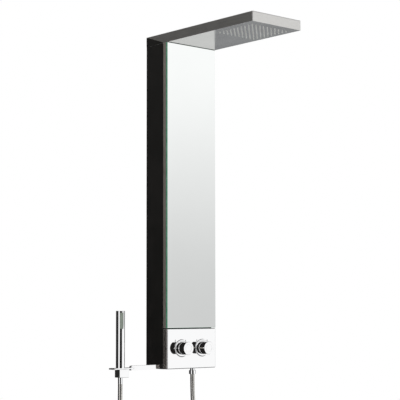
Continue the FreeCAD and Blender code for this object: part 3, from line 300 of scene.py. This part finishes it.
def chrome(name):
    """Polished plating, with the faint smears that hands leave."""
    f = Finish(name)
    smears = f.noise(30.0, 4.0)
    fine = f.noise(700.0, 2.0)
    dull = tuple(part * 0.975 for part in PLATING[:3]) + (1.0,)
    return f.surface(Base_Color=f.blend(smears.ramp(0.4, 0.75), PLATING, dull), Metallic=1.0,
                     Roughness=smears.ramp(0.45, 0.8, 0.03, 0.05) + fine * 0.006)


def plate_chrome(name):
    """The valve plate: a polished face, and satin sides where the sheet is folded back."""
    f = Finish(name)
    side, _, _ = f.facing()
    satin = abs(side) > FACING
    smears = f.noise(6.0, 3.0)
    scratches = f.noise(1.0, 4.0, f.stretched(*ALONG_COLUMN), 0.7)
    face = f.blend(smears, PLATING, (0.944, 0.946, 0.949, 1.0))
    folded = f.blend(scratches, rgb(196, 188, 182), rgb(214, 206, 200))
    return f.surface(Base_Color=f.blend(satin, face, folded), Metallic=1.0,
                     Roughness=smears * 0.01 + 0.012 + satin * (scratches * 0.16 + 0.32))


def marked_chrome(name):
    """Polished plating, with the raised pointer on the knob's side filled with grey."""
    f = Finish(name)
    side, _, _ = f.facing()
    _, depth, height = f.axes()
    beside = abs(height - KNOB_HEIGHT) < POINTER_HALF
    ahead = abs(depth + POINTER_DEPTH) < POINTER_REACH
    fill = beside * ahead * (abs(side) > SQUARE_ON)
    smears = f.noise(38.0, 4.0)
    plating = f.blend(smears.ramp(0.4, 0.75), PLATING, (0.93, 0.932, 0.935, 1.0))
    return f.surface(Base_Color=f.blend(fill, plating, rgb(168, 165, 156)), Metallic=1 - fill,
                     Roughness=smears * 0.03 + 0.02 + fill * 0.4)


def capped_chrome(name):
    """The safety button: chrome, with white enamel on its end."""
    f = Finish(name)
    side, _, _ = f.facing()
    end = abs(side) > FACING
    cloud = f.noise(300.0, 3.0)
    enamel = f.blend(cloud, rgb(240, 240, 237), rgb(247, 247, 244))
    return f.surface(Base_Color=f.blend(end, (0.94, 0.942, 0.945, 1.0), enamel), Metallic=1 - end,
                     Roughness=cloud * 0.04 + 0.03 + end * 0.2)


def zinc(name):
    """Zinc-plated steel with its spangle."""
    f = Finish(name)
    spangle = f.cells(160.0)
    grey = f.node("ShaderNodeRGBToBW", values={0: spangle})
    colour = f.blend(grey, (0.42, 0.43, 0.45, 1.0), (0.58, 0.59, 0.60, 1.0))
    return f.surface(Base_Color=colour, Metallic=1.0, Roughness=grey * 0.14 + 0.30)


def cast_metal(name, light, dark, rough, grain, depth):
    """Cast or machined metal: mottled, with a skin of small hollows."""
    f = Finish(name)
    mottle = f.noise(60.0, 5.0)
    skin = f.noise(grain, 3.0)
    return f.surface(Base_Color=f.blend(mottle.ramp(0.3, 0.7), dark, light), Metallic=1.0,
                     Roughness=mottle * 0.16 + rough, Normal=f.bump(skin, depth, 0.7))


def moulded(name, light, dark, rough, grain, depth, shine):
    """A moulded plastic or rubber, with a fine texture from its mould."""
    f = Finish(name)
    cloud = f.noise(25.0, 4.0)
    skin = f.noise(grain, 3.0)
    return f.surface(Base_Color=f.blend(cloud.ramp(0.3, 0.7), dark, light), Roughness=skin * 0.14 + rough,
                     Specular_IOR_Level=shine, Normal=f.bump(skin, depth, 0.5))


def hose_strip(name):
    """Bright interlocked strip with faint smears; its grooves are in the mesh."""
    f = Finish(name)
    smears = f.noise(55.0, 3.0)
    return f.surface(Base_Color=f.blend(smears, rgb(206, 203, 197), rgb(232, 230, 226)), Metallic=1.0,
                     Roughness=smears * 0.06 + 0.16)


MOULDED_SKIN = (0.34, 420.0, 0.00004, 0.45)
SILICONE_SKIN = (0.42, 300.0, 0.00006, 0.35)
FOAM_SKIN = (0.85, 1500.0, 0.0002, 0.2)

MADE_FINISHES = (
    (arm_steel, "arm_steel"),
    (brushed, "tray_steel", ALONG_ARM, rgb(194, 193, 191), rgb(176, 175, 173), 0.14),
    (brushed, "strip_steel", ALONG_COLUMN, rgb(238, 229, 221), rgb(222, 213, 205), 0.52),
    (powder_coat, "black_coat"),
    (silvered_glass, "mirror"),
    (chrome, "chrome"),
    (plate_chrome, "plate_chrome"),
    (marked_chrome, "marked_chrome"),
    (capped_chrome, "capped_chrome"),
    (zinc, "steel"),
    (cast_metal, "brass", rgb(214, 182, 112), rgb(188, 152, 84), 0.22, 900.0, 0.00005),
    (cast_metal, "cast_brass", rgb(202, 172, 108), rgb(170, 138, 78), 0.34, 420.0, 0.00018),
    (cast_metal, "copper", rgb(216, 144, 106), rgb(186, 112, 78), 0.20, 500.0, 0.00003),
    (moulded, "white_plastic", rgb(228, 228, 224), rgb(216, 216, 211), *MOULDED_SKIN),
    (moulded, "silicone", rgb(240, 241, 238), rgb(228, 230, 226), *SILICONE_SKIN),
    (moulded, "grey_silicone", rgb(150, 158, 148), rgb(132, 141, 131), *SILICONE_SKIN),
    (moulded, "foam_tape", rgb(34, 34, 34), rgb(24, 24, 24), *FOAM_SKIN),
    (hose_strip, "hose_strip"),
)
FINISHES = {name: maker(name, *rest) for maker, name, *rest in MADE_FINISHES}

NODE_FINISH = {
    "strip_steel": ("front_frame",),
    "arm_steel": ("arm_shell",),
    "tray_steel": ("arm_underside",),
    "black_coat": ("rear_casing", "base_plate"),
    "mirror": ("mirror_glass",),
    "chrome": ("temperature_flange", "flow_flange", "temperature_knob", "temperature_cap", "flow_cap",
               "hose_lower_nut", "holder_bar", "holder_shelf", "holder_block", "hose_ferrule", "handset_tube",
               "handset_end_cap", "outlet_tail"),
    "plate_chrome": ("valve_plate",),
    "marked_chrome": ("flow_knob",),
    "capped_chrome": ("safety_button",),
    "steel": ("wall_bracket", "hanger_rail", "lower_bracket", "lower_bracket_screw", "frame_spacers",
              "plate_spacers", "arm_brackets", "arm_screws", "chamber_studs", "valve_bracket",
              "holder_bar_screw", "temperature_grub_screw", "flow_grub_screw", "button_spring",
              "riser_clips"),
    "brass": ("socket_rings", "hot_inlet_tail", "cold_inlet_tail", "temperature_spindle", "flow_spindle",
              "outlet_locknut", "hose_upper_nut", "handset_nipple"),
    "cast_brass": ("valve_body", "riser_elbow"),
    "copper": ("riser_pipe", "arm_feed_pipe"),
    "white_plastic": ("spray_chamber", "thermostatic_cartridge", "diverter_cartridge"),
    "silicone": ("nozzle_mat",),
    "grey_silicone": ("handset_spray_face",),
    "foam_tape": ("glass_tape",),
    "hose_strip": ("shower_hose",),
}


def finish_nodes():
    """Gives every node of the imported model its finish."""
    for finish, nodes in NODE_FINISH.items():
        for name in nodes:
            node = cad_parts[name]
            node.data.materials.clear()
            node.data.materials.append(FINISHES[finish])
            for face in node.data.polygons:
                face.material_index = 0


# The hose


# Control points in millimetres: across, out from the wall, and up from the column's foot
HOSE_ROUTE = [(40, -60, -20), (40, -60, -74), (44, -61, -140), (63, -62, -214), (81, -62, -292),
              (66, -63, -372), (8, -65, -424), (-70, -67, -443), (-150, -69, -443), (-228, -71, -424),
              (-286, -72, -372), (-301, -73, -292), (-283, -74, -214), (-264, -75, -142), (-260, -75, -86),
              (-260, -75, -39)]
HOSE_RADIUS = 0.007
HOSE_SIDES = 24
STRIP_PITCH = 0.0032
GROOVE_DEPTH = 0.0003
# One turn of the strip: how far below the crest, and at what part of the pitch
STRIP_ROWS = ((0.0, 0.00), (0.0, 0.66), (GROOVE_DEPTH, 0.76), (GROOVE_DEPTH, 0.90))


def route_spline():
    """The hose's line: one smooth spline whose control points are the route."""
    drawn = bpy.data.curves.new("hose_line", "CURVE")
    drawn.dimensions = "3D"
    drawn.resolution_u = 48
    spline = drawn.splines.new("NURBS")
    spline.points.add(len(HOSE_ROUTE) - 1)
    for point, (across, depth, height) in zip(spline.points, HOSE_ROUTE):
        point.co = (across / 1000, depth / 1000, FOOT + height / 1000, 1.0)
    spline.order_u = 3
    spline.use_endpoint_u = True
    line = bpy.data.objects.new("hose_line", drawn)
    bpy.context.collection.objects.link(line)
    bpy.context.view_layer.update()
    read = bpy.data.meshes.new_from_object(line)
    points = [vertex.co.copy() for vertex in read.vertices]
    bpy.data.objects.remove(line)
    bpy.data.meshes.remove(read)
    return points


def along(points):
    """The distance of each point from the first one, along the line."""
    reached = [0.0]
    for first, second in zip(points, points[1:]):
        reached.append(reached[-1] + (second - first).length)
    return reached


def rings_along(points, stations):
    """A centre and two crosswise directions for each station, turning no more than the line does."""
    reached = along(points)
    rings = []
    side = Vector((0, 1, 0))
    run = 0
    for station in stations:
        while run < len(points) - 2 and reached[run + 1] < station:
            run += 1
        first, second = points[run], points[run + 1]
        part = (station - reached[run]) / (reached[run + 1] - reached[run])
        before = points[max(run - 1, 0)]
        after = points[min(run + 2, len(points) - 1)]
        ahead = ((first - before) * (1 - part) + (after - second) * part + (second - first)).normalized()
        side = (side - ahead * side.dot(ahead)).normalized()
        rings.append((first.lerp(second, part), side.copy(), ahead.cross(side)))
    return rings


def new_piece(name, made, finish):
    """A smooth piece from a mesh under construction, with its finish."""
    mesh = bpy.data.meshes.new(name)
    bmesh.ops.recalc_face_normals(made, faces=made.faces)
    made.to_mesh(mesh)
    made.free()
    for face in mesh.polygons:
        face.use_smooth = True
    mesh.materials.append(FINISHES[finish])
    piece = bpy.data.objects.new(name, mesh)
    bpy.context.collection.objects.link(piece)
    return piece


def add_hose():
    """The hose wound from interlocked strip, following its spline."""
    points = route_spline()
    length = along(points)[-1]
    turns = round(length / STRIP_PITCH)
    stations = []
    radii = []
    for turn in range(turns):
        for sunk, part in STRIP_ROWS:
            stations.append((turn + part) / turns * length)
            radii.append(HOSE_RADIUS - sunk)
    stations.append(length)
    radii.append(HOSE_RADIUS)
    made = bmesh.new()
    rows = []
    for (centre, side, other), radius in zip(rings_along(points, stations), radii):
        row = []
        for corner in range(HOSE_SIDES):
            angle = corner * math.tau / HOSE_SIDES
            away = side * math.cos(angle) + other * math.sin(angle)
            row.append(made.verts.new(centre + away * radius))
        rows.append(row)
    for lower, upper in zip(rows, rows[1:]):
        for corner in range(HOSE_SIDES):
            following = (corner + 1) % HOSE_SIDES
            made.faces.new((lower[corner], lower[following], upper[following], upper[corner]))
    made.faces.new(rows[0])
    made.faces.new(rows[-1])
    hose = new_piece("wound_hose", made, "hose_strip")
    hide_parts("shower_hose")
    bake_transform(hose)


# Turned and eased pieces


# Radius, and distance ahead of the column's front, in millimetres
FLANGE_PROFILE = [(12.3, 0), (27.5, 0), (27.5, 1.5), (26.8, 2.2), (24.5, 2.7), (20.5, 2.95), (12.3, 3)]
FLANGE_SIDES = 128
SHARP_EDGE = math.radians(50)
FLAT_JOIN = math.radians(0.5)
TOUCHING = 0.000001
# Faces larger than this, in square metres, are shaded flat
FLAT_FACE = 0.00002


def add_flange(label, across):
    """A thin disc round a knob, its face gently domed so that the dark cards draw a curved line in it."""
    made = bmesh.new()
    rows = []
    for corner in range(FLANGE_SIDES):
        angle = corner * math.tau / FLANGE_SIDES
        row = []
        for radius, ahead in FLANGE_PROFILE:
            row.append(made.verts.new((across + math.cos(angle) * radius / 1000, -FRONT_DEPTH - ahead / 1000,
                                       KNOB_HEIGHT + math.sin(angle) * radius / 1000)))
        rows.append(row)
    for first, second in zip(rows, rows[1:] + rows[:1]):
        for low in range(len(FLANGE_PROFILE)):
            high = (low + 1) % len(FLANGE_PROFILE)
            made.faces.new((first[low], first[high], second[high], second[low]))
    flange = new_piece(f"turned_{label}_flange", made, "chrome")
    flange.data.set_sharp_from_angle(angle=SHARP_EDGE)
    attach(flange, "column")
    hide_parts(f"{label}_flange")


def add_spring():
    """The button's spring inside the left knob, parented to the temperature control's body."""
    made = bmesh.new()
    made.from_mesh(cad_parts["button_spring"].data)
    bmesh.ops.remove_doubles(made, verts=made.verts, dist=TOUCHING)
    spring = new_piece("wound_button_spring", made, "steel")
    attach(spring, "temperature_control")
    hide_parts("button_spring")
    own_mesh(spring)


def add_eased(node_name, width):
    """A chromed holder piece in its node's own form, its sharp edges eased as a polisher leaves them."""
    made = bmesh.new()
    made.from_mesh(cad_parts[node_name].data)
    bmesh.ops.remove_doubles(made, verts=made.verts, dist=TOUCHING)
    bmesh.ops.dissolve_limit(made, angle_limit=FLAT_JOIN, verts=made.verts, edges=made.edges)
    corners = [edge for edge in made.edges if edge.is_manifold and edge.calc_face_angle() > SHARP_EDGE]
    bmesh.ops.bevel(made, geom=corners, offset=width, segments=2, profile=0.5, affect="EDGES",
                    clamp_overlap=True)
    bmesh.ops.triangulate(made, faces=[face for face in made.faces if len(face.verts) > 4])
    piece = new_piece(f"eased_{node_name}", made, "chrome")
    for face in piece.data.polygons:
        face.use_smooth = face.area < FLAT_FACE
    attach(piece, "column")
    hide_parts(node_name)


add_hose()
finish_nodes()
add_flange("temperature", -KNOB_ACROSS)
add_flange("flow", KNOB_ACROSS)
add_spring()
add_eased("holder_bar", 0.0009)
add_eased("holder_shelf", 0.0008)
add_eased("holder_block", 0.0006)


# As in the photograph, the arm isn't seen in the mirror below it


ARM_NODES = ("arm_shell", "arm_underside", "nozzle_mat", "spray_chamber", "chamber_studs", "arm_brackets",
             "arm_screws", "arm_feed_pipe")
for arm_node in ARM_NODES:
    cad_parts[arm_node].visible_glossy = False


# The studio


CARD_CENTRE = Vector((0.0, -0.1, 0.0))
CARD_RADIUS = 6.0
CARD_STEP = 6
CARD_FOOT = -16.0
CARD_TOP = 15.0
TO_CAMERA = Vector((-math.sin(math.radians(VIEW_TURN)), -math.cos(math.radians(VIEW_TURN)), 0))
TO_RIGHT = Vector((math.cos(math.radians(VIEW_TURN)), -math.sin(math.radians(VIEW_TURN)), 0))

WARM_GREY = (1.0, 0.985, 0.965, 1.0)
BLUE_GREY = (0.94, 0.97, 1.0, 1.0)
WHITE = (1.0, 1.0, 1.0, 1.0)

# Name, start and end in degrees to the camera's right, foot and top in metres, colour, strength, and for
# a graded card the heights that it is graded between and its strength from there up
CARDS = (
    ("left_flag", -180, -48, CARD_FOOT, CARD_TOP, WARM_GREY, 0.018, (-1.6, 2.4, 0.15)),
    ("black_flag", -15, 31, CARD_FOOT, CARD_TOP, WARM_GREY, 0.014, None),
    ("black_foot", 31, 46, CARD_FOOT, -1.1, WARM_GREY, 0.014, None),
    ("front_window", 31, 46, -1.1, 2.6, WHITE, 0.014, (-1.1, 0.3, 0.92)),
    ("black_top", 31, 46, 2.6, CARD_TOP, WARM_GREY, 0.014, None),
    ("rear_flag", 118, 180, -1.8, CARD_TOP, BLUE_GREY, 0.36, None),
    ("rear_foot", 118, 180, CARD_FOOT, -4.5, BLUE_GREY, 0.36, None),
    ("front_sweep", 46, 118, -0.8, 2.8, WHITE, 0.68, (-0.8, 1.5, 1.06)),
    ("upper_flag", 46, 118, 2.8, CARD_TOP, WARM_GREY, 0.02, None),
    ("lower_flag", 46, 118, CARD_FOOT, -3.4, WARM_GREY, 0.02, None),
)


def card_finish(name, colour, strength, graded):
    """A card's own glow, even or graded with height, which lights nothing directly."""
    f = Finish(name)
    level = strength
    if graded:
        low, high, upper_strength = graded
        level = f.axes()[2].ramp(low, high, strength, upper_strength)
    material = f.shown(f.node("ShaderNodeEmission", values={"Color": colour, "Strength": level}))
    material.cycles.emission_sampling = "NONE"
    return material


def add_card(name, start, end, foot, top, colour, strength, graded):
    """A curved studio card, seen only in reflections, which gives the metal its contrast."""
    steps = max(2, int(abs(end - start) / CARD_STEP))
    made = bmesh.new()
    edge = []
    for step in range(steps + 1):
        angle = math.radians(start + (end - start) * step / steps)
        away = (TO_CAMERA * math.cos(angle) + TO_RIGHT * math.sin(angle)) * CARD_RADIUS
        edge.append([made.verts.new(CARD_CENTRE + away + Vector((0, 0, height))) for height in (foot, top)])
    for first, second in zip(edge, edge[1:]):
        made.faces.new((first[0], second[0], second[1], first[1]))
    mesh = bpy.data.meshes.new(name)
    made.to_mesh(mesh)
    made.free()
    mesh.materials.append(card_finish(name, colour, strength, graded))
    shown = bpy.data.objects.new(name, mesh)
    bpy.context.collection.objects.link(shown)
    shown.visible_camera = False
    shown.visible_diffuse = False
    shown.visible_transmission = False
    shown.visible_volume_scatter = False
    shown.visible_shadow = False


FLOOR_HEIGHT = -1.36
FLOOR_RADIUS = 4.2
FLOOR_GLOW = 0.25


def add_floor():
    """A round white floor under the hose's loop."""
    made = bmesh.new()
    bmesh.ops.create_circle(made, cap_ends=True, segments=96, radius=FLOOR_RADIUS,
                            matrix=Matrix.Translation((0, 0, FLOOR_HEIGHT)))
    mesh = bpy.data.meshes.new("studio_floor")
    made.to_mesh(mesh)
    made.free()
    f = Finish("studio_floor")
    seen = f.node("ShaderNodeLightPath", out="Is Camera Ray")
    mottle = f.noise(3.0, 2.0)
    pale = f.blend(mottle, (0.90, 0.90, 0.90, 1.0), (0.92, 0.92, 0.92, 1.0))
    mesh.materials.append(f.surface(Base_Color=pale, Roughness=0.7, Emission_Color=WHITE,
                                    Emission_Strength=seen * FLOOR_GLOW))
    floor = bpy.data.objects.new("studio_floor", mesh)
    bpy.context.collection.objects.link(floor)
    floor.visible_glossy = False


LAMP_AIM = Vector((0, -0.05, -0.35))
LAMP_SIZE = 1.6


def add_lamp(name, place, strength):
    """A soft square lamp aimed at the middle of the column; strength is what it adds to a facing white."""
    away = Vector(place) - LAMP_AIM
    lamp = bpy.data.lights.new(name, "AREA")
    lamp.shape = "SQUARE"
    lamp.size = LAMP_SIZE
    lamp.energy = strength * math.pi ** 2 * away.length_squared
    shown = bpy.data.objects.new(name, lamp)
    bpy.context.collection.objects.link(shown)
    shown.location = place
    shown.rotation_euler = away.to_track_quat("Z", "Y").to_euler()
    shown.visible_glossy = False


WORLD_FILL = 0.55


def add_world():
    """White all round, at full strength for the camera and in reflections, and softer on the surfaces."""
    f = Finish("studio", bpy.data.worlds)
    seen = f.node("ShaderNodeLightPath", out="Is Camera Ray")
    mirrored = f.node("ShaderNodeLightPath", out="Is Glossy Ray")
    through = f.node("ShaderNodeLightPath", out="Is Transmission Ray")
    direct = (seen + mirrored + through) > 0.5
    level = direct * (1 - WORLD_FILL) + WORLD_FILL
    glow = f.node("ShaderNodeBackground", values={"Color": WHITE, "Strength": level})
    world = f.shown(glow, "ShaderNodeOutputWorld")
    world.cycles.sampling_method = "NONE"
    bpy.context.scene.world = world


for card in CARDS:
    add_card(*card)
add_floor()
add_lamp("left_lamp", (-3.0, -3.2, 2.4), 0.30)
add_lamp("right_lamp", (3.0, -3.4, 1.6), 0.20)
add_world()

bpy.context.scene.view_settings.view_transform = "Standard"
